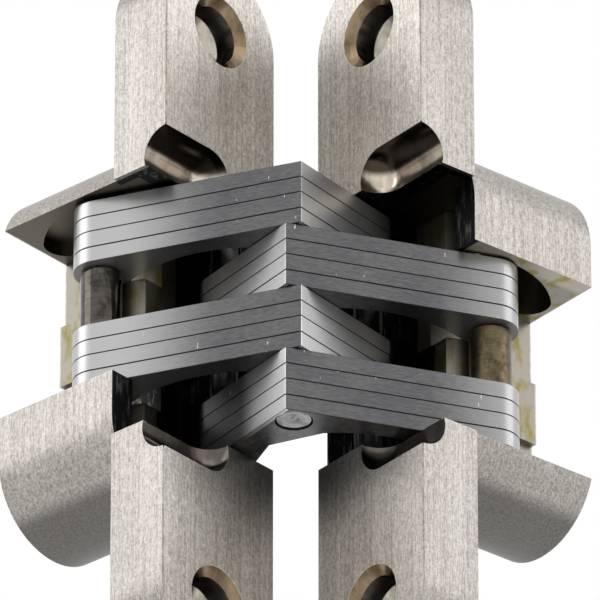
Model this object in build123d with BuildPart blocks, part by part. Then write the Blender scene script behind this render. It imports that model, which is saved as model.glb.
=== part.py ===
# Concealed invisible door hinge, drawn part open as in the photograph.
# The fixed leaf stands upright with its front face towards -Y and its barrel towards +Y.
# The origin is midway between its two screw holes, on the flange's back face, which seats
# in the mortise. +Z is up.
# The swing leaf is the same casting turned upside down about the line on which the two
# leaves mirror each other, which runs through the centre pin.
import os
from math import asin, atan2, cos, degrees, hypot, radians, sin, sqrt

from build123d import *

# Leaf
leaf_width = 30.0
leaf_length = 150.0
flange_thickness = 12.8
barrel_length = 74.0
far_wall = 4.4
edge_break = 0.25

# Screw holes: a wide mouth, a straight wall and a countersink for the screw's head deeper inside
screw_spacing = 120.0
screw_hole_radius = 2.9
mouth_radius = 7.3
head_room_radius = 5.6
head_room_depth = 6.0

# Link plates: four plates to a stack, four stacks
plate_thickness = 3.1
plate_gap = 0.15
plates_per_stack = 4
window_clearance = 0.7
plate_edge_distance = 3.9
slide_end_radius = 5.2
pivot_end_radius = 4.4
notch_depth_from_line = 0.45
hub_inner_reach = 6.5
hub_inner_height = 2.4
neck_reach = 10.0
neck_height = 1.4
lobe_inner_reach = 34.5
lobe_inner_height = 4.3

# Linkage, in the leaf's own section: depth from the front face, side from the near edge
pivot_depth = 7.73
pivot_side = 24.84
short_arm = 22.61
long_arm = 38.33
short_arm_shut_angle = 244.375
long_arm_shut_angle = 11.435
rest_opening = 80.6
full_opening = 180.0
guide_middle_opening = 78.0
arm_turn_ratio = 0.6

# Pins and rollers
centre_pin_radius = 2.7
rivet_head_radius = 3.15
rivet_recess_radius = 3.5
rivet_recess_depth = 1.2
rivet_sunk = 0.3
rivet_dish_radius = 2.5
rivet_dish_depth = 0.5
pivot_pin_radius = 2.3
pivot_socket_depth = 5.5
spacer_radius = 3.0
slide_pin_radius = 2.3
roller_radius = 3.9
upper_slot_height = 2.5
lower_roller_length = 9.0
roller_chamfer = 0.4
press_clearance = 0.02
running_clearance = 0.05
roller_side_clearance = 0.45
end_clearance = 0.3

# Grooves across the front at both ends of the window
groove_radius = 5.3
groove_centre_rise = 1.6
groove_length = 17.5

# Inner walls behind the front flange
rib_front = 16.8
arm_room_side = 17.7
guide_end_wall = 1.07
lip_edge_depth = 2.3
lip_inner_depth = 5.0
spacer_room = 0.15

# Levels
pitch = plate_thickness + plate_gap
stack_height = plates_per_stack * pitch
stack_top = 2.0 * stack_height
window_half = stack_top + window_clearance
half_width = leaf_width / 2.0
front = -flange_thickness


def in_leaf(depth, side):
    """A point of the leaf's section, as X and Y of the drawing."""
    return (side - half_width, front + depth)


def turned(point, centre, angle):
    """The point turned about the centre by the angle in degrees."""
    dx = point[0] - centre[0]
    dy = point[1] - centre[1]
    c = cos(radians(angle))
    s = sin(radians(angle))
    return (centre[0] + dx * c - dy * s, centre[1] + dx * s + dy * c)


def mechanism(opening):
    """Centre pin and slide pin in the leaf's section at an opening angle in degrees."""
    turn = -opening / (1.0 + arm_turn_ratio)
    short_angle = radians(short_arm_shut_angle + turn)
    long_angle = radians(long_arm_shut_angle + arm_turn_ratio * turn)
    centre_depth = pivot_depth + short_arm * cos(short_angle)
    centre_side = pivot_side + short_arm * sin(short_angle)
    slide_depth = centre_depth + long_arm * cos(long_angle)
    slide_side = centre_side + long_arm * sin(long_angle)
    return in_leaf(centre_depth, centre_side), in_leaf(slide_depth, slide_side)


# Places of the pins as drawn, on the fixed leaf and mirrored onto the swing leaf
centre, slide_fixed = mechanism(rest_opening)
pivot_fixed = in_leaf(pivot_depth, pivot_side)
mirror_angle = rest_opening / 2.0
mirror_axis = Axis((centre[0], centre[1], 0), (cos(radians(mirror_angle)), sin(radians(mirror_angle)), 0))


def mirrored(point):
    """The point across the line on which the two leaves mirror each other."""
    reach = hypot(point[0] - centre[0], point[1] - centre[1])
    angle = 2.0 * radians(mirror_angle) - atan2(point[1] - centre[1], point[0] - centre[0])
    return (centre[0] + reach * cos(angle), centre[1] + reach * sin(angle))


pivot_swing = mirrored(pivot_fixed)
slide_swing = mirrored(slide_fixed)

# Path of the slide pin in the fixed leaf, from folded shut to wide open
path_shut = mechanism(0.0)[1]
path_middle = mechanism(guide_middle_opening)[1]
path_open = mechanism(full_opening)[1]
guide_width = 2.0 * (roller_radius + roller_side_clearance)
back = path_shut[1] + guide_width / 2.0 + guide_end_wall
leaf_face = Plane(origin=(0, front, 0), x_dir=(1, 0, 0), z_dir=(0, 1, 0))


def guide_slot(bottom, height):
    """Curved slot in which a roller of the long arm runs, cut out of the leaf."""
    with BuildSketch(Plane.XY.offset(bottom)) as slot:
        SlotArc(Edge.make_three_point_arc(
            (*path_open, bottom), (*path_middle, bottom), (*path_shut, bottom)), guide_width)
    extrude(slot.sketch, amount=height, mode=Mode.SUBTRACT)


def cut_box(x_range, y_range, z_range):
    """A rectangular space cut out of the leaf between the given limits."""
    size = [high - low for low, high in (x_range, y_range, z_range)]
    middle = [(high + low) / 2.0 for low, high in (x_range, y_range, z_range)]
    with Locations(tuple(middle)):
        Box(*size, mode=Mode.SUBTRACT)


beyond = 2.0
near_side = -half_width - beyond
arm_room_edge = arm_room_side - half_width
slot_near_edge = min(path_middle[0], path_shut[0], path_open[0])
slot_back_edge = path_shut[0] + guide_width / 2.0
slot_end_start = path_shut[1] - guide_width / 2.0
room_near_edge = path_open[0] - guide_width / 2.0
lower_notch = -stack_height - end_clearance

# Fixed leaf: one casting with a front flange and a deeper barrel behind it
with BuildPart() as fixed_leaf:
    with BuildSketch(leaf_face):
        SlotOverall(leaf_length, leaf_width, rotation=90)
    extrude(amount=flange_thickness)
    front_edges = fixed_leaf.faces().sort_by(Axis.Y)[0].edges()
    chamfer(front_edges, edge_break)
    with BuildSketch(leaf_face.offset(flange_thickness)):
        SlotOverall(barrel_length, leaf_width, rotation=90)
    extrude(amount=back)
    back_edges = fixed_leaf.faces().sort_by(Axis.Y)[-1].edges()
    chamfer(back_edges, edge_break)
    # window through the front flange, open at both sides
    cut_box((near_side, half_width + beyond), (front - beyond, 0), (-window_half, window_half))
    # lips of the far wall beside the long arms, sloped like the notch of an arm that is wide open
    wall_inside = half_width - far_wall
    for floor, ceiling in (
            (stack_height + end_clearance, window_half), (end_clearance - stack_height, -end_clearance)):
        with BuildSketch(Plane.XY.offset(floor)):
            with BuildLine():
                Polyline((half_width, front + lip_edge_depth), (half_width, 0), (wall_inside, 0),
                         (wall_inside, front + lip_inner_depth), close=True)
            make_face()
        extrude(amount=ceiling - floor)
    with Locations((*pivot_fixed, 0)):
        Cylinder(spacer_radius + spacer_room, 2.0 * window_half, mode=Mode.SUBTRACT)
    # room for the short arms in front of the inner walls
    cut_box((room_near_edge, wall_inside), (front, front + rib_front), (-window_half, window_half))
    # room for the long arms at the first and third stack, open to the near side and the back
    for floor in (stack_height - plate_gap, lower_notch):
        room = stack_height + end_clearance + plate_gap
        top = window_half if floor > 0 else floor + room
        cut_box((near_side, arm_room_edge), (front, back + beyond), (floor, top))
    # the second stack keeps a rib beside the roller
    cut_box((near_side, slot_near_edge), (front, back + beyond), (lower_notch, window_half))
    cut_box((near_side, slot_back_edge), (path_shut[1], back + beyond), (lower_notch, window_half))
    # and no sliver on the near side of the slot's end
    cut_box((near_side, path_shut[0]), (slot_end_start, back + beyond), (lower_notch, window_half))
    guide_slot(-window_half, 2.0 * window_half + upper_slot_height)
    # round grooves across the front at both ends of the window
    for end in (-1, 1):
        groove_height = end * (window_half + groove_centre_rise)
        nose = near_side + beyond + groove_length - groove_radius
        with Locations(Location((near_side, front, groove_height), (0, 90, 0))):
            Cylinder(groove_radius, nose - near_side, align=(Align.CENTER, Align.CENTER, Align.MIN),
                     mode=Mode.SUBTRACT)
        with Locations((nose, front, groove_height)):
            Sphere(groove_radius, mode=Mode.SUBTRACT)
    # sockets for the pivot pin
    with Locations((*pivot_fixed, 0)):
        Cylinder(pivot_pin_radius + press_clearance, 2.0 * (window_half + pivot_socket_depth),
                 mode=Mode.SUBTRACT)
    # screw holes, all their slopes at 45 degrees
    for end in (-1, 1):
        with BuildSketch(Plane.XY.offset(end * screw_spacing / 2.0)) as hole_half:
            with BuildLine():
                Polyline((0, front - 1.0), (mouth_radius + 1.0, front - 1.0),
                         (head_room_radius, front + mouth_radius - head_room_radius),
                         (head_room_radius, front + head_room_depth),
                         (screw_hole_radius, front + head_room_depth + head_room_radius - screw_hole_radius),
                         (screw_hole_radius, 1.0), (0, 1.0), close=True)
            make_face()
        revolve(axis=Axis((0, 0, end * screw_spacing / 2.0), (0, 1, 0)), mode=Mode.SUBTRACT)
fixed_leaf.part.label = "fixed_leaf"

with BuildPart() as swing_leaf:
    add(fixed_leaf.part.rotate(mirror_axis, 180))
swing_leaf.part.label = "swing_leaf"


# Link plates: an L with the centre pin near its sharp outer corner
def link_outline(to_slide, to_pivot):
    """Outline of a plate about the centre pin, for the directions of its two arms in degrees."""
    side = 1.0 if (to_pivot - to_slide) % 360.0 < 180.0 else -1.0

    def place(along, up):
        angle = radians(to_slide)
        return (centre[0] + along * cos(angle) - side * up * sin(angle),
                centre[1] + along * sin(angle) + side * up * cos(angle))

    spread = radians(abs((to_pivot - to_slide + 180.0) % 360.0 - 180.0))
    long_slope = -asin((slide_end_radius - plate_edge_distance) / long_arm)
    short_slope = spread + asin((pivot_end_radius - plate_edge_distance) / short_arm)
    pivot_at = (short_arm * cos(spread), short_arm * sin(spread))
    # the sharp corner, where the two straight outer edges meet
    long_foot = (plate_edge_distance * sin(long_slope), -plate_edge_distance * cos(long_slope))
    short_foot = (-plate_edge_distance * sin(short_slope), plate_edge_distance * cos(short_slope))
    cross = cos(long_slope) * sin(short_slope) - sin(long_slope) * cos(short_slope)
    gap = (short_foot[0] - long_foot[0], short_foot[1] - long_foot[1])
    run = (gap[0] * sin(short_slope) - gap[1] * cos(short_slope)) / cross
    corner = (long_foot[0] + run * cos(long_slope), long_foot[1] + run * sin(long_slope))
    slide_outer = (long_arm + slide_end_radius * sin(long_slope), -slide_end_radius * cos(long_slope))
    slide_tip = (long_arm + slide_end_radius, 0.0)
    slide_inner = (long_arm - 1.5, sqrt(slide_end_radius ** 2 - 1.5 ** 2))
    pivot_outer = (pivot_at[0] - pivot_end_radius * sin(short_slope),
                   pivot_at[1] + pivot_end_radius * cos(short_slope))
    pivot_tip = (pivot_at[0] + pivot_end_radius * cos(spread), pivot_at[1] + pivot_end_radius * sin(spread))
    pivot_inner = (pivot_at[0] + pivot_end_radius * sin(spread), pivot_at[1] - pivot_end_radius * cos(spread))
    lobe = (lobe_inner_reach, lobe_inner_height)
    waist = ((lobe_inner_reach + hub_inner_reach) / 2.0, -notch_depth_from_line)
    hub = (hub_inner_reach, hub_inner_height)
    neck = (neck_reach * cos(spread) + neck_height * sin(spread),
            neck_reach * sin(spread) - neck_height * cos(spread))
    Line(place(*corner), place(*slide_outer))
    ThreePointArc(place(*slide_outer), place(*slide_tip), place(*slide_inner))
    Line(place(*slide_inner), place(*lobe))
    ThreePointArc(place(*lobe), place(*waist), place(*hub))
    Line(place(*hub), place(*neck))
    Line(place(*neck), place(*pivot_inner))
    ThreePointArc(place(*pivot_inner), place(*pivot_tip), place(*pivot_outer))
    Line(place(*pivot_outer), place(*corner))


def direction(start, finish):
    """Angle in degrees of the line from start to finish."""
    return degrees(atan2(finish[1] - start[1], finish[0] - start[0]))


def plate_top(stack, plate):
    """Height of a plate's upper face, counting stacks and plates from the top."""
    return stack_top - plate_gap / 2.0 - (stack * plates_per_stack + plate) * pitch


# Stacks 1 and 3 slide in the fixed leaf, stacks 2 and 4 in the swing leaf
links = {
    "link_a": ((0, 2), slide_fixed, pivot_swing, running_clearance),
    "link_b": ((1, 3), slide_swing, pivot_fixed, press_clearance),
}
plates = []
for link, (stacks, slide_pin_at, pivot_pin_at, centre_fit) in links.items():
    for stack in stacks:
        for plate in range(plates_per_stack):
            top = plate_top(stack, plate)
            outermost = (stack, plate) in ((0, 0), (3, plates_per_stack - 1))
            with BuildPart() as link_plate:
                with BuildSketch(Plane.XY.offset(top - plate_thickness)):
                    with BuildLine():
                        link_outline(direction(centre, slide_pin_at), direction(centre, pivot_pin_at))
                    make_face()
                    with Locations(centre):
                        Circle(centre_pin_radius + centre_fit, mode=Mode.SUBTRACT)
                    with Locations(slide_pin_at):
                        Circle(slide_pin_radius + press_clearance, mode=Mode.SUBTRACT)
                    with Locations(pivot_pin_at):
                        Circle(pivot_pin_radius + running_clearance, mode=Mode.SUBTRACT)
                extrude(amount=plate_thickness)
                if outermost:
                    outer_face = top if stack == 0 else top - plate_thickness
                    recess_floor = outer_face - rivet_recess_depth if stack == 0 else outer_face
                    with BuildSketch(Plane.XY.offset(recess_floor)):
                        with Locations(centre):
                            Circle(rivet_recess_radius)
                    extrude(amount=rivet_recess_depth, mode=Mode.SUBTRACT)
            number = (stack // 2) * plates_per_stack + plate + 1
            link_plate.part.label = link + "_plate_" + str(number)
            plates.append(link_plate.part)

# Centre pin: one riveted shaft through all four stacks, its heads sunk in the outer plates
head_height = rivet_recess_depth - rivet_sunk - running_clearance
shaft_half = stack_top - plate_gap / 2.0 - rivet_recess_depth + running_clearance
head_half = shaft_half + head_height
with BuildPart() as centre_pin:
    with BuildSketch(Plane.XZ):
        with BuildLine():
            Polyline((0, rivet_dish_depth - head_half), (rivet_dish_radius, -head_half),
                     (rivet_head_radius, -head_half), (rivet_head_radius, -shaft_half),
                     (centre_pin_radius, -shaft_half), (centre_pin_radius, shaft_half),
                     (rivet_head_radius, shaft_half), (rivet_head_radius, head_half),
                     (rivet_dish_radius, head_half), (0, head_half - rivet_dish_depth), close=True)
        make_face()
    revolve(axis=Axis.Z)
centre_pin.part.locate(Location((*centre, 0)))
centre_pin.part.label = "centre_pin"
pieces = [fixed_leaf.part, swing_leaf.part, centre_pin.part, *plates]


def bush(name, place, outer, inner, limits, flip):
    """A round tube or pin about an upright axis between two heights, upside down if flip is -1."""
    low, high = sorted((flip * limits[0], flip * limits[1]))
    with BuildPart() as turned_piece:
        with BuildSketch(Plane.XY.offset(low)):
            with Locations(place):
                Circle(outer)
                if inner:
                    Circle(inner, mode=Mode.SUBTRACT)
        extrude(amount=high - low)
        rims = turned_piece.edges().filter_by(GeomType.CIRCLE)
        chamfer([rim for rim in rims if abs(rim.radius - outer) < 0.001], roller_chamfer)
    turned_piece.part.label = name
    pieces.append(turned_piece.part)


# Each leaf holds one pivot pin with two spacers, and one slide pin runs in it with three rollers.
# In the swing leaf all of it is upside down.
pivot_pin_half = window_half + pivot_socket_depth - end_clearance
slot_ceiling = window_half + upper_slot_height
slide_pin_limits = (-stack_height - lower_roller_length - end_clearance, slot_ceiling - end_clearance)
for leaf, link, pivot_at, slide_at, flip in (
        ("fixed", "link_a", pivot_fixed, slide_fixed, 1), ("swing", "link_b", pivot_swing, slide_swing, -1)):
    bush(leaf + "_pivot_pin", pivot_at, pivot_pin_radius, 0, (-pivot_pin_half, pivot_pin_half), flip)
    spacer_bore = pivot_pin_radius + press_clearance
    bush(leaf + "_spacer_outer", pivot_at, spacer_radius, spacer_bore,
         (stack_height + plate_gap, window_half - plate_gap), flip)
    bush(leaf + "_spacer_inner", pivot_at, spacer_radius, spacer_bore,
         (-stack_height + plate_gap, -plate_gap), flip)
    bush(link + "_slide_pin", slide_at, slide_pin_radius, 0, slide_pin_limits, flip)
    roller_bore = slide_pin_radius + running_clearance
    bush(link + "_roller_outer", slide_at, roller_radius, roller_bore,
         (stack_top + plate_gap, slot_ceiling - end_clearance), flip)
    bush(link + "_roller_middle", slide_at, roller_radius, roller_bore,
         (plate_gap, stack_height - plate_gap), flip)
    bush(link + "_roller_inner", slide_at, roller_radius, roller_bore,
         (-stack_height - lower_roller_length, -stack_height - plate_gap), flip)

os.makedirs("parts", exist_ok=True)
for piece in pieces:
    export_step(piece, "parts/" + piece.label + ".step")
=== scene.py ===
import math

import bpy
import numpy as np
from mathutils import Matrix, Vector


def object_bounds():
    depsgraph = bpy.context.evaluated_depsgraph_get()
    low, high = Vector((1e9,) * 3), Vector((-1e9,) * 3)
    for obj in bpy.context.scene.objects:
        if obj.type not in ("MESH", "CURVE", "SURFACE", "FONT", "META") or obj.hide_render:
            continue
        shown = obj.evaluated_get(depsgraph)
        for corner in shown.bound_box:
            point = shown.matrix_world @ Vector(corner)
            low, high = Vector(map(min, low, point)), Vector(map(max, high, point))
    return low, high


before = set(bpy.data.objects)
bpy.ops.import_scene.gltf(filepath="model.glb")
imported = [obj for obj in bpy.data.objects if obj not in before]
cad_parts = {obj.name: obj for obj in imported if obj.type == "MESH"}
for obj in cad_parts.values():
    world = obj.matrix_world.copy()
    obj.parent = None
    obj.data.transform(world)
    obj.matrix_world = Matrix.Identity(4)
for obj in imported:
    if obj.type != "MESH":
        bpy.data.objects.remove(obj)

cad_low, cad_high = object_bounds()


# The two leaves are the same steel casting, the swing leaf upside down: satin, brushed upwards on
# the flat faces, with a painted shade that makes it nearly black inside the window, and shiny milled
# grooves and bored screw holes with painted shade in them. Painted light makes the fronts lighter,
# and painted shades darken parts of the lower half.
# They stay as the frame has them.
LEAF_NODES = ("fixed_leaf", "swing_leaf")
LEAF_LIGHT = (0.55, 0.525, 0.495, 1.0)
LEAF_DARK = (0.27, 0.25, 0.225, 1.0)
LEAF_STAIN = (0.90, 0.885, 0.86, 1.0)
LEAF_ROUGHNESS = 0.30
# Painted light: the fronts are made this many times lighter.
FRONT_PAINTED_LIGHT = 1.35
UNDERSIDE_GREY = (0.075, 0.072, 0.07, 1.0)
# Painted shade, nearly black, inside the window and on the front beside it.
PAINTED_SHADE_BLACK = (0.012, 0.012, 0.013, 1.0)
INSIDE_SCRATCH = (0.17, 0.165, 0.16, 1.0)
CEILING_TAUPE = (0.13, 0.115, 0.09, 1.0)
RIB_BEIGE = (0.44, 0.41, 0.35, 1.0)
# Painted shade on the greasy ribs, deeper inside the window.
RIB_SHADE = (0.05, 0.045, 0.035, 1.0)
GREASE_YELLOW = (0.33, 0.27, 0.07, 1.0)
MILLED_LIGHT = (0.56, 0.49, 0.41, 1.0)
# Painted shade on the groove's part away from the window.
GROOVE_WALL_SHADE = (0.05, 0.04, 0.03, 1.0)
HOLE_MOUTH = (0.27, 0.20, 0.125, 1.0)
HOLE_WALL = (0.17, 0.16, 0.155, 1.0)
HOLE_SEAT = (0.46, 0.42, 0.35, 1.0)
# Painted shade at the deep end of the screw holes and over the lower grooves.
RECESS_SHADE = (0.03, 0.027, 0.025, 1.0)

# How often each pattern of the leaf repeats per metre along X, Y and Z.
GRAIN_STRETCH = (3600.0, 3600.0, 520.0)
FIBRE_STRETCH = (1500.0, 1500.0, 30.0)
CLOUD_STRETCH = (70.0, 70.0, 30.0)
SCRATCH_STRETCH = (900.0, 900.0, 160.0)
SMEAR_STRETCH = (260.0, 260.0, 110.0)
SPECKS = 2300.0

# The leaf's own frame has X across it, Y from the flange's back into the barrel and the height up
# or down from the middle, in metres. Each area of another finish, and each area of painted shade,
# is a range of the three.
FAR = 1.0
ALL = (-FAR, FAR)
FLANGE_DEPTH = 0.0128
FRONT_FACE = -0.01275
FLANGE_BACK = 0.0002
BARREL_ROUND_HEIGHT = 0.022
BARREL_SKIN_RADIUS = 0.01488
WINDOW = (ALL, (-0.01255, 0.0279), (-FAR, 0.02685))
RIBS = ((-FAR, 0.0065), (0.001, FAR), ALL)
# In the lower half this wall keeps the window's painted shade, not the greasy ribs.
SHADED_WALL = ((0.0015, FAR), (-FAR, 0.017), ALL)
CEILING = (ALL, (0.0005, FAR), (0.0264, FAR))
CEILING_POCKET = ((-0.0125, 0.0035), (-0.004, 0.0276), (0.0266, 0.0296))
MILLED_GROOVE = ((-0.01495, 0.0029), (-0.01272, -0.006), (0.0268, 0.034))
SCREW_HOLE = ((-0.0074, 0.0074), (-0.01272, -0.00005), (0.052, 0.068))

# Where a tone changes little by little: the first number is where it starts and the second where
# it is full.
# Painted shade on the ribs, deeper inside the window.
RIB_SHADE_STEP = (0.0125, 0.0105)
# Painted shade on the groove's part away from the window.
GROOVE_WALL_SHADE_STEP = (0.0298, 0.0312)
SHADE_ACROSS = (-0.004, 0.014)
SHADE_UPWARDS = (0.044, 0.028)
UNDERSIDE_START = (0.0318, 0.0345)

REST_OPENING = math.radians(80.6)
pin_box = np.array([tuple(corner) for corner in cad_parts["centre_pin"].bound_box])
hinge_centre = Vector((pin_box.min(axis=0) + pin_box.max(axis=0)) / 2)


def new_material(name):
    """A node material with its output, its shader and Object coordinates."""
    material = bpy.data.materials.new(name)
    material.use_nodes = True
    tree = material.node_tree
    tree.nodes.clear()
    output = tree.nodes.new("ShaderNodeOutputMaterial")
    shader = tree.nodes.new("ShaderNodeBsdfPrincipled")
    tree.links.new(shader.outputs["BSDF"], output.inputs["Surface"])
    coordinates = tree.nodes.new("ShaderNodeTexCoord")
    return material, tree, shader, coordinates.outputs["Object"]


def stretched(tree, source, scale, turn=0.0, shift=(0.0, 0.0, 0.0)):
    """The coordinates multiplied by a scale on each axis, turned about Z and shifted."""
    mapping = tree.nodes.new("ShaderNodeMapping")
    mapping.inputs["Location"].default_value = shift
    mapping.inputs["Rotation"].default_value = (0.0, 0.0, turn)
    mapping.inputs["Scale"].default_value = scale
    tree.links.new(source, mapping.inputs["Vector"])
    return mapping.outputs["Vector"]


def axes_of(tree, vector):
    """The X, Y and Z of a vector, as three sockets."""
    split = tree.nodes.new("ShaderNodeSeparateXYZ")
    tree.links.new(vector, split.inputs["Vector"])
    return split.outputs["X"], split.outputs["Y"], split.outputs["Z"]


def noise(tree, vector, scale=1.0, detail=3.0, roughness=0.6):
    """A noise texture's value, from 0 to 1."""
    node = tree.nodes.new("ShaderNodeTexNoise")
    node.inputs["Scale"].default_value = scale
    node.inputs["Detail"].default_value = detail
    node.inputs["Roughness"].default_value = roughness
    tree.links.new(vector, node.inputs["Vector"])
    return node.outputs["Fac"]


def ramp(tree, value, *stops):
    """A colour ramp through (position, colour) stops. A plain number stands for a grey."""
    node = tree.nodes.new("ShaderNodeValToRGB")
    elements = node.color_ramp.elements
    while len(elements) < len(stops):
        elements.new(0.5)
    for element, (position, color) in zip(elements, stops):
        element.position = position
        element.color = color if isinstance(color, tuple) else grey(color)
    tree.links.new(value, node.inputs["Fac"])
    return node.outputs["Color"]


def grey(level):
    """A neutral colour."""
    return (level, level, level, 1.0)


def maths(tree, operation, first, second=0.0):
    """One arithmetic step between sockets or numbers."""
    node = tree.nodes.new("ShaderNodeMath")
    node.operation = operation
    for socket, value in zip(node.inputs, (first, second)):
        if isinstance(value, (int, float)):
            socket.default_value = value
        else:
            tree.links.new(value, socket)
    return node.outputs["Value"]


def product(tree, first, *others):
    """Values multiplied together."""
    for other in others:
        first = maths(tree, "MULTIPLY", first, other)
    return first


def weighted(tree, *parts):
    """(value, share) pairs: each value times its share, added up."""
    total = 0.0
    for value, share in parts:
        total = maths(tree, "ADD", total, maths(tree, "MULTIPLY", value, share))
    return total


def within(tree, axes, *ranges):
    """1 inside a box that is given as a range of each axis, and 0 outside."""
    result = 1.0
    for axis, (low, high) in zip(axes, ranges):
        result = product(tree, result, maths(tree, "GREATER_THAN", axis, low))
        result = product(tree, result, maths(tree, "LESS_THAN", axis, high))
    return result


def rising(tree, value, start, full):
    """A smooth step from 0 at the start to 1 where it is full."""
    node = tree.nodes.new("ShaderNodeMapRange")
    node.interpolation_type = "SMOOTHSTEP"
    node.inputs["From Min"].default_value = start
    node.inputs["From Max"].default_value = full
    tree.links.new(value, node.inputs["Value"])
    return node.outputs["Result"]


def blend_colors(tree, mode, factor, first, second):
    """Two colours mixed, or multiplied, by a factor."""
    node = tree.nodes.new("ShaderNodeMix")
    node.data_type = "RGBA"
    node.blend_type = mode
    inputs = (node.inputs[0], node.inputs[6], node.inputs[7])
    for socket, value in zip(inputs, (factor, first, second)):
        if isinstance(value, (int, float, tuple)):
            socket.default_value = value
        else:
            tree.links.new(value, socket)
    return node.outputs[2]


def painted(tree, area, strength, color, paint):
    """The colour with a paint mixed in over an area, at a strength."""
    return blend_colors(tree, "MIX", product(tree, area, strength), color, paint)


def relief(tree, shader, height, strength, distance):
    """A bump of the surface by a height value. The distance is in metres."""
    bump = tree.nodes.new("ShaderNodeBump")
    bump.inputs["Strength"].default_value = strength
    bump.inputs["Distance"].default_value = distance
    tree.links.new(height, bump.inputs["Height"])
    tree.links.new(bump.outputs["Normal"], shader.inputs["Normal"])


def turned_over(x, y):
    """Where a point goes when one side of the hinge is turned over onto the other, at rest."""
    across, away = x - hinge_centre.x, y - hinge_centre.y
    cosine, sine = math.cos(REST_OPENING), math.sin(REST_OPENING)
    return hinge_centre.x + across * cosine + away * sine, hinge_centre.y + across * sine - away * cosine


def satin(tree, place, grain):
    """Dark to light along the grain, with faint warm clouds."""
    color = ramp(tree, grain, (0.41, LEAF_DARK), (0.585, LEAF_LIGHT))
    cloud = noise(tree, stretched(tree, place, CLOUD_STRETCH), roughness=0.5)
    return blend_colors(tree, "MULTIPLY", 0.7, color, ramp(tree, cloud, (0.35, LEAF_STAIN), (0.65, 1.0)))


def light_and_shade(tree, color, axes, lower):
    """Painted light that makes the fronts lighter, and two painted shades in the lower half: on the
    front beside the window's far edge, and on the barrel's underside. They stand for light that the
    lamps don't give."""
    side, depth, height = axes
    front = maths(tree, "LESS_THAN", depth, FRONT_FACE)
    color = blend_colors(tree, "MULTIPLY", front, color, grey(FRONT_PAINTED_LIGHT))
    beside = product(tree, rising(tree, side, *SHADE_ACROSS), rising(tree, height, *SHADE_UPWARDS))
    color = painted(tree, product(tree, front, lower, beside), 0.85, color, PAINTED_SHADE_BLACK)
    behind = maths(tree, "GREATER_THAN", depth, FLANGE_BACK)
    underside = product(tree, lower, behind, rising(tree, height, *UNDERSIDE_START))
    return painted(tree, underside, 0.7, color, UNDERSIDE_GREY)


def window_inside(tree, color, place, axes, lower, smear):
    """Painted shade, nearly black with lighter scratches, inside the window's outline; greasy ribs on
    one side, with painted shade deeper inside, except on the lower half's shaded wall, which stays
    black; and a taupe ceiling.
    """
    side, _, height = axes
    past_round = maths(tree, "MAXIMUM", maths(tree, "SUBTRACT", height, BARREL_ROUND_HEIGHT), 0.0)
    reach = maths(tree, "ADD", product(tree, side, side), product(tree, past_round, past_round))
    under_skin = maths(tree, "LESS_THAN", reach, BARREL_SKIN_RADIUS ** 2)
    inside = product(tree, within(tree, axes, *WINDOW), under_skin)
    # In the lower half, the shaded wall keeps the painted shade instead of the ribs' colour.
    shaded_wall = product(tree, lower, within(tree, axes, *SHADED_WALL))
    ribs = product(tree, inside, within(tree, axes, *RIBS), maths(tree, "SUBTRACT", 1.0, shaded_wall))
    ceiling = product(tree, inside, within(tree, axes, *CEILING))
    ceiling = maths(tree, "MAXIMUM", ceiling, within(tree, axes, *CEILING_POCKET))

    scratch = noise(tree, stretched(tree, place, SCRATCH_STRETCH), detail=4.0, roughness=0.7)
    black = ramp(tree, scratch, (0.54, PAINTED_SHADE_BLACK), (0.68, INSIDE_SCRATCH))
    greasy = ramp(tree, smear, (0.50, RIB_BEIGE), (0.62, GREASE_YELLOW))
    # A painted shade on the ribs deeper inside the window.
    inwards = rising(tree, maths(tree, "ABSOLUTE", side), *RIB_SHADE_STEP)
    greasy = painted(tree, inwards, 0.4, greasy, RIB_SHADE)
    color = blend_colors(tree, "MIX", inside, color, black)
    color = blend_colors(tree, "MIX", ribs, color, greasy)
    return blend_colors(tree, "MIX", ceiling, color, CEILING_TAUPE)


def milled_groove(tree, height, lower, smear):
    """Bright warm milling with a painted shade on its part away from the window, and a painted shade
    over the lower grooves.
    """
    milled = blend_colors(tree, "MIX", rising(tree, height, *GROOVE_WALL_SHADE_STEP), MILLED_LIGHT, GROOVE_WALL_SHADE)
    milled = blend_colors(tree, "MULTIPLY", 0.8, milled, ramp(tree, smear, (0.35, 0.5), (0.6, 1.3)))
    return painted(tree, lower, 0.8, milled, RECESS_SHADE)


def screw_hole(tree, depth, smear):
    """A brass-coloured mouth, a grey wall, a pale seat and a painted shade at the deep end, by how deep
    the point lies.
    """
    sunk = maths(tree, "DIVIDE", maths(tree, "ADD", depth, FLANGE_DEPTH), FLANGE_DEPTH)
    bored = ramp(tree, sunk, (0.12, HOLE_MOUTH), (0.15, HOLE_WALL), (0.45, HOLE_WALL),
                 (0.48, HOLE_SEAT), (0.66, HOLE_SEAT), (0.69, RECESS_SHADE))
    return blend_colors(tree, "MULTIPLY", 0.8, bored, ramp(tree, smear, (0.38, 0.45), (0.6, 1.2)))


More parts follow.
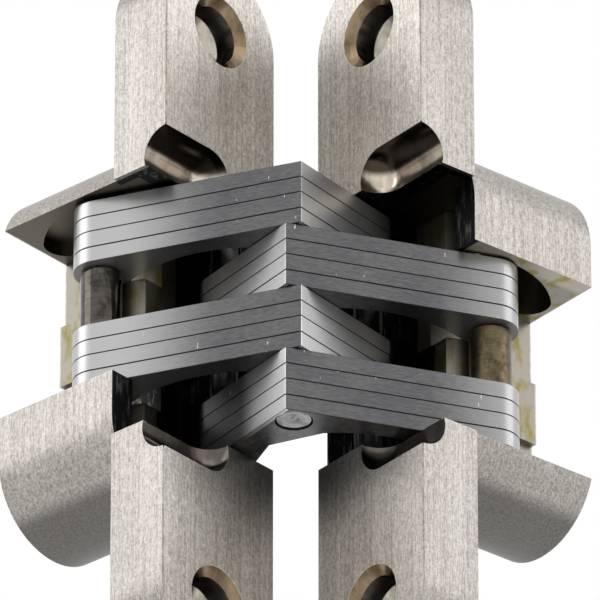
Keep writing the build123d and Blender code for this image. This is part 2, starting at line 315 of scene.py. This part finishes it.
def brushed_leaf(name, leaf_scale, leaf_turn, leaf_shift):
    """The whole finish of a leaf, placed by the leaf's own frame. Only the lower half's shades go
    by the height in the shared frame, because the swing leaf is upside down."""
    material, tree, shader, shared_place = new_material(name)
    lower = maths(tree, "LESS_THAN", axes_of(tree, shared_place)[2], 0.0)
    place = stretched(tree, shared_place, leaf_scale, leaf_turn, leaf_shift)
    side, depth, upwards = axes_of(tree, place)
    height = maths(tree, "ABSOLUTE", upwards)
    axes = (side, depth, height)
    grain = weighted(
        tree,
        (noise(tree, stretched(tree, place, GRAIN_STRETCH), roughness=0.7), 0.45),
        (noise(tree, place, SPECKS, detail=2.0), 0.3),
        (noise(tree, stretched(tree, place, FIBRE_STRETCH)), 0.25),
    )
    smear = noise(tree, stretched(tree, place, SMEAR_STRETCH), detail=4.0)
    groove = within(tree, axes, *MILLED_GROOVE)
    hole = within(tree, axes, *SCREW_HOLE)

    color = satin(tree, place, grain)
    color = light_and_shade(tree, color, axes, lower)
    color = window_inside(tree, color, place, axes, lower, smear)
    color = blend_colors(tree, "MIX", groove, color, milled_groove(tree, height, lower, smear))
    color = blend_colors(tree, "MIX", hole, color, screw_hole(tree, depth, smear))
    tree.links.new(color, shader.inputs["Base Color"])

    smoother = maths(tree, "SUBTRACT", 1.0, product(tree, maths(tree, "MAXIMUM", groove, hole), 0.55))
    rough = maths(tree, "ADD", product(tree, grain, 0.25), LEAF_ROUGHNESS)
    tree.links.new(product(tree, rough, smoother), shader.inputs["Roughness"])
    shader.inputs["Metallic"].default_value = 1.0
    relief(tree, shader, grain, 0.4, 0.00005)
    return material


leaf_frames = {
    "fixed_leaf": ((1.0, 1.0, 1.0), 0.0, (0.0, 0.0, 0.0)),
    "swing_leaf": ((1.0, -1.0, -1.0), REST_OPENING, (*turned_over(0.0, 0.0), 0.0)),
}
for node_name in LEAF_NODES:
    leaf_steel = brushed_leaf(node_name + "_satin", *leaf_frames[node_name])
    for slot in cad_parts[node_name].material_slots:
        slot.material = leaf_steel


# The link plates are L-shaped steel plates, four to a stack, with ground edges that show fine lines
# along each plate, and a painted highlight on the sharp corner. The pins hold each stack together.
PLATE_LIGHT = (0.195, 0.195, 0.20, 1.0)
PLATE_DARK = (0.105, 0.105, 0.11, 1.0)
PLATE_COOL = (0.84, 0.84, 0.86, 1.0)
PLATE_WARM = (1.08, 1.06, 1.04, 1.0)
PLATE_NICK = grey(0.62)
# Painted sheen, partly wear polish, on the long arm towards its end.
LONG_END_SHEEN_AND_WEAR = grey(0.62)
# Painted highlight on the short arm's face, fading away from the corner.
SHORT_ARM_HIGHLIGHT = grey(0.67)
# Painted highlight on the arris at the sharp corner.
ARRIS_HIGHLIGHT = grey(1.0)
# Painted shade of the gap between plates, with some dirt, along the plate's rims.
RIM_GAP_SHADE_AND_DIRT = grey(0.02)
PLATE_ROUGHNESS = 0.22
PLATE_METALLIC = 0.8
PLATES_PER_LINK = 8
LINE_STRETCH = (120.0, 120.0, 9000.0)
EDGE_STRETCH = (700.0, 700.0, 3200.0)
NICK_STRETCH = (1300.0, 1300.0, 330.0)
TINTS = 80.0
SEED_STEP = 0.173
LINK_B_SEED = 0.05
SEED_SHIFT = (1.0, 0.37, 0.11)

# Link A's sharp corner and the directions of its arms, from the shared frame's X. Link B is link A
# turned over.
LINK_A_CORNER = (0.00174, -0.03107)
LINK_A_LONG_ARM = math.radians(108.79)
LINK_A_SHORT_ARM = math.radians(4.6)
PLATE_ARMS = {
    "link_a": (LINK_A_CORNER, LINK_A_LONG_ARM, LINK_A_SHORT_ARM),
    "link_b": (turned_over(*LINK_A_CORNER), REST_OPENING - LINK_A_LONG_ARM, REST_OPENING - LINK_A_SHORT_ARM),
}

# Distances along the arms from the corner: where the long arm's end gets paler by a painted sheen
# and wear, and where the short arm's painted highlight fades. Then the width of the painted highlight
# on the arris, how near a point has to be to the short arm's face, and the width of the rim's painted
# gap shade and dirt on the four plates of a stack.
LONG_SHEEN_AND_WEAR = {"link_a": (0.014, 0.037), "link_b": (0.026, 0.050)}
SHORT_HIGHLIGHT_FADE = (0.019, 0.028)
LOWEST_STACK_HIGHLIGHT_FADE = (0.009, 0.0145)
ARRIS_HIGHLIGHT_WIDTH = 0.00022
ARM_FACE = 0.0006
CORNER_START = 0.00001
RIM_WIDTHS = (0.00014, 0.00003, 0.00009, 0.00001)


def along(tree, place, corner, direction):
    """How far a point lies from the plate's corner in a direction, in metres."""
    away = tree.nodes.new("ShaderNodeVectorMath")
    away.operation = "SUBTRACT"
    away.inputs[1].default_value = (*corner, 0.0)
    tree.links.new(place, away.inputs[0])
    reach = tree.nodes.new("ShaderNodeVectorMath")
    reach.operation = "DOT_PRODUCT"
    reach.inputs[1].default_value = (math.cos(direction), math.sin(direction), 0.0)
    tree.links.new(away.outputs["Vector"], reach.inputs[0])
    return reach.outputs["Value"]


def ground_steel(tree, place, grain):
    """Grey steel from dark to light along the grain, with cool and warm patches and small nicks."""
    color = ramp(tree, grain, (0.34, PLATE_DARK), (0.66, PLATE_LIGHT))
    tint = ramp(tree, noise(tree, place, TINTS, roughness=0.5), (0.35, PLATE_COOL), (0.65, PLATE_WARM))
    color = blend_colors(tree, "MULTIPLY", 0.8, color, tint)
    nicks = noise(tree, stretched(tree, place, NICK_STRETCH), detail=2.0, roughness=0.5)
    return blend_colors(tree, "MIX", ramp(tree, nicks, (0.735, 0.0), (0.75, 1.0)), color, PLATE_NICK)


def arm_tones(tree, color, place, arms, long_paling, highlight_fade):
    """A long arm that gets paler towards its end, by a painted sheen that is partly wear polish, a
    painted highlight on the short-arm face that fades away from the corner, and a painted white
    highlight on the arris where the two meet."""
    corner, long_arm, short_arm = arms
    pale = rising(tree, along(tree, place, corner, long_arm), *long_paling)
    color = painted(tree, pale, 0.8, color, LONG_END_SHEEN_AND_WEAR)
    on_short = along(tree, place, corner, short_arm)
    beside = maths(tree, "ABSOLUTE", along(tree, place, corner, short_arm + math.pi / 2))
    on_face = maths(tree, "LESS_THAN", beside, ARM_FACE)
    on_face = product(tree, on_face, maths(tree, "GREATER_THAN", on_short, CORNER_START))
    bright = product(tree, on_face, maths(tree, "SUBTRACT", 1.0, rising(tree, on_short, *highlight_fade)))
    color = painted(tree, bright, 0.8, color, SHORT_ARM_HIGHLIGHT)
    arris = product(tree, on_face, maths(tree, "LESS_THAN", on_short, ARRIS_HIGHLIGHT_WIDTH))
    return blend_colors(tree, "MIX", arris, color, ARRIS_HIGHLIGHT)


def dirty_rims(tree, color, place, low, high, rim_width):
    """A dark line along both rims of the plate's edge, where it meets the next plate: a painted shade of
    the gap between them, with some dirt.
    """
    normal = tree.nodes.new("ShaderNodeNewGeometry").outputs["Normal"]
    edge = maths(tree, "LESS_THAN", maths(tree, "ABSOLUTE", axes_of(tree, normal)[2]), 0.5)
    level = maths(tree, "SUBTRACT", axes_of(tree, place)[2], (low + high) / 2)
    outside = maths(tree, "GREATER_THAN", maths(tree, "ABSOLUTE", level), (high - low) / 2 - rim_width)
    return blend_colors(tree, "MIX", product(tree, edge, outside), color, RIM_GAP_SHADE_AND_DIRT)


def ground_plate(plate, link_name, number):
    """The finish of one plate. Each has its own stretch of the patterns."""
    material, tree, shader, place = new_material(plate.name + "_ground")
    seed = number * SEED_STEP + (LINK_B_SEED if link_name == "link_b" else 0.0)
    own_place = stretched(tree, place, (1.0, 1.0, 1.0), 0.0, tuple(seed * share for share in SEED_SHIFT))
    grain = weighted(
        tree,
        (noise(tree, stretched(tree, own_place, LINE_STRETCH)), 0.4),
        (noise(tree, stretched(tree, own_place, EDGE_STRETCH)), 0.6),
    )
    lowest = link_name == "link_b" and number > PLATES_PER_LINK / 2
    highlight_fade = LOWEST_STACK_HIGHLIGHT_FADE if lowest else SHORT_HIGHLIGHT_FADE
    low, high = plate.bound_box[0][2], plate.bound_box[6][2]

    color = ground_steel(tree, own_place, grain)
    color = arm_tones(tree, color, place, PLATE_ARMS[link_name], LONG_SHEEN_AND_WEAR[link_name], highlight_fade)
    color = dirty_rims(tree, color, place, low, high, RIM_WIDTHS[number % len(RIM_WIDTHS)])
    tree.links.new(color, shader.inputs["Base Color"])
    rough = maths(tree, "ADD", product(tree, grain, 0.2), PLATE_ROUGHNESS)
    tree.links.new(rough, shader.inputs["Roughness"])
    shader.inputs["Metallic"].default_value = PLATE_METALLIC
    relief(tree, shader, grain, 0.25, 0.00003)
    return material


for link_name in PLATE_ARMS:
    for number in range(1, PLATES_PER_LINK + 1):
        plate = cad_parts[link_name + "_plate_" + str(number)]
        plate_steel = ground_plate(plate, link_name, number)
        for slot in plate.material_slots:
            slot.material = plate_steel


# Pins, spacers and rollers are turned steel. The pins run through the stacks, the spacers sit on
# the pivot pins, and the rollers turn on the slide pins in grease, which is brown on link B's.
TURNED_FINISHES = (
    ("link_a_roller", "clean_roller", (0.11, 0.10, 0.085, 1.0), 0.12, 0.08),
    ("link_b_roller", "greased_roller", (0.17, 0.135, 0.08, 1.0), 0.34, 0.3),
    ("centre_pin", "riveted_pin", (0.30, 0.30, 0.30, 1.0), 0.16, 0.08),
    ("", "turned_pin", (0.10, 0.10, 0.10, 1.0), 0.25, 0.08),
)
RING_STRETCH = (200.0, 200.0, 4200.0)
TURNED_STAIN_STRETCH = (420.0, 420.0, 300.0)
RING_SHADE = 0.7


def turned_steel(name, base, roughness, stain_relief):
    """Turned steel with fine rings about Z and dark stains."""
    material, tree, shader, place = new_material(name)
    rings = noise(tree, stretched(tree, place, RING_STRETCH))
    stains = noise(tree, stretched(tree, place, TURNED_STAIN_STRETCH), detail=4.0, roughness=0.65)
    dark = tuple(RING_SHADE * channel for channel in base[:3]) + (1.0,)
    color = ramp(tree, rings, (0.35, dark), (0.65, base))
    color = blend_colors(tree, "MULTIPLY", 0.8, color, ramp(tree, stains, (0.35, 0.35), (0.55, 1.1)))
    tree.links.new(color, shader.inputs["Base Color"])
    shader.inputs["Roughness"].default_value = roughness
    shader.inputs["Metallic"].default_value = 1.0
    relief(tree, shader, stains, stain_relief, 0.0001)
    return material


finishes = [(prefix, turned_steel(*finish)) for prefix, *finish in TURNED_FINISHES]
for node_name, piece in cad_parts.items():
    if node_name in LEAF_NODES or "_plate_" in node_name:
        continue
    finish = next(steel for prefix, steel in finishes if node_name.startswith(prefix))
    for slot in piece.material_slots:
        slot.material = finish


# A pale floor below the hinge, clear from below, because the view looks up from under it. Polished
# steel sees it plain white, like the room.
FLOOR_DROP = 0.03
FLOOR_HALF = 3.0
FLOOR_TONE = grey(0.86)
FLOOR_ROUGHNESS = 0.9
floor_mesh = bpy.data.meshes.new("floor")
corners = np.array([(-1, -1, 0), (1, -1, 0), (1, 1, 0), (-1, 1, 0)], dtype=float) * FLOOR_HALF
corners[:, 2] = cad_low[2] - FLOOR_DROP
floor_mesh.from_pydata(corners.tolist(), [], [(0, 1, 2, 3)])
floor = bpy.data.objects.new("floor", floor_mesh)
bpy.context.scene.collection.objects.link(floor)


def mixed_shaders(tree, factor, first, second):
    """The first shader where the factor is 0 and the second where it is 1."""
    mix = tree.nodes.new("ShaderNodeMixShader")
    for socket, value in zip(mix.inputs, (factor, first, second)):
        tree.links.new(value, socket)
    return mix.outputs["Shader"]


floor_material, tree, shader, _ = new_material("pale_floor")
shader.inputs["Base Color"].default_value = FLOOR_TONE
shader.inputs["Roughness"].default_value = FLOOR_ROUGHNESS
shining = tree.nodes.new("ShaderNodeEmission")
clear = tree.nodes.new("ShaderNodeBsdfTransparent")
in_steel = tree.nodes.new("ShaderNodeLightPath").outputs["Is Glossy Ray"]
from_below = tree.nodes.new("ShaderNodeNewGeometry").outputs["Backfacing"]
surface = mixed_shaders(tree, in_steel, shader.outputs["BSDF"], shining.outputs["Emission"])
surface = mixed_shaders(tree, from_below, surface, clear.outputs["BSDF"])
tree.links.new(surface, tree.nodes["Material Output"].inputs["Surface"])
floor_mesh.materials.append(floor_material)

# The hinge is seen from its opening side and from below, with a long lens.
VIEW_TURN = math.radians(41.4)
VIEW_PITCH = math.radians(29.6)
VIEW_DISTANCE = 2.0
AIM_RIGHT = 0.0011
AIM_UP = -0.0006
PIXELS_PER_METRE = 5490.0
FRAME_PIXELS = 600.0
SENSOR_WIDTH = 36.0
level_ahead = Vector((math.cos(VIEW_TURN), math.sin(VIEW_TURN), 0.0))
view_right = Vector((math.sin(VIEW_TURN), -math.cos(VIEW_TURN), 0.0))
view_ahead = level_ahead * math.cos(VIEW_PITCH) + Vector((0.0, 0.0, math.sin(VIEW_PITCH)))
view_up = view_right.cross(view_ahead)
camera_data = bpy.data.cameras.new("photo_view")
camera_data.sensor_fit = "HORIZONTAL"
camera_data.sensor_width = SENSOR_WIDTH
camera_data.lens = SENSOR_WIDTH * PIXELS_PER_METRE * VIEW_DISTANCE / FRAME_PIXELS
camera_data.clip_end = 20.0
camera = bpy.data.objects.new("photo_view", camera_data)
camera.location = hinge_centre + view_right * AIM_RIGHT + view_up * AIM_UP - view_ahead * VIEW_DISTANCE
camera.rotation_euler = view_ahead.to_track_quat("-Z", "Y").to_euler()
bpy.context.scene.collection.objects.link(camera)
bpy.context.scene.camera = camera
bpy.context.scene.view_settings.view_transform = "Standard"


def soft_lamp(name, side, up, away, size, power):
    """A square lamp aimed at the hinge, placed to the view's right, up and towards the camera."""
    data = bpy.data.lights.new(name, "AREA")
    data.size = size
    data.energy = power
    lamp = bpy.data.objects.new(name, data)
    lamp.location = hinge_centre + view_right * side + Vector((0.0, 0.0, up)) - level_ahead * away
    lamp.rotation_euler = (hinge_centre - lamp.location).to_track_quat("-Z", "Y").to_euler()
    bpy.context.scene.collection.objects.link(lamp)


# Soft studio light: a lamp on each side of the view, a weak low one on the right and one above.
soft_lamp("left_softbox", side=-0.72, up=0.42, away=0.10, size=0.5, power=1.25)
soft_lamp("right_softbox", side=0.72, up=0.42, away=0.10, size=0.5, power=0.8)
soft_lamp("low_right_softbox", side=0.72, up=0.12, away=0.10, size=0.3, power=0.2)
soft_lamp("top_softbox", side=0.0, up=0.8, away=0.5, size=0.6, power=0.5)

# A white room around it all. The camera and the steel see it white, and it lights at a plain level.
ROOM_TONE = grey(0.8)
ROOM_LIGHT = 0.55
world = bpy.data.worlds.new("white_room")
bpy.context.scene.world = world
world.use_nodes = True
room = world.node_tree
room.nodes.clear()
room_output = room.nodes.new("ShaderNodeOutputWorld")
light_room = room.nodes.new("ShaderNodeBackground")
light_room.inputs["Color"].default_value = ROOM_TONE
light_room.inputs["Strength"].default_value = ROOM_LIGHT
white_room = room.nodes.new("ShaderNodeBackground")
white_room.inputs["Color"].default_value = grey(1.0)
white_room.inputs["Strength"].default_value = 1.0
ray = room.nodes.new("ShaderNodeLightPath")
seen = maths(room, "MAXIMUM", ray.outputs["Is Camera Ray"], ray.outputs["Is Glossy Ray"])
seen = maths(room, "MAXIMUM", seen, ray.outputs["Is Transmission Ray"])
room_seen = mixed_shaders(room, seen, light_room.outputs["Background"], white_room.outputs["Background"])
room.links.new(room_seen, room_output.inputs["Surface"])
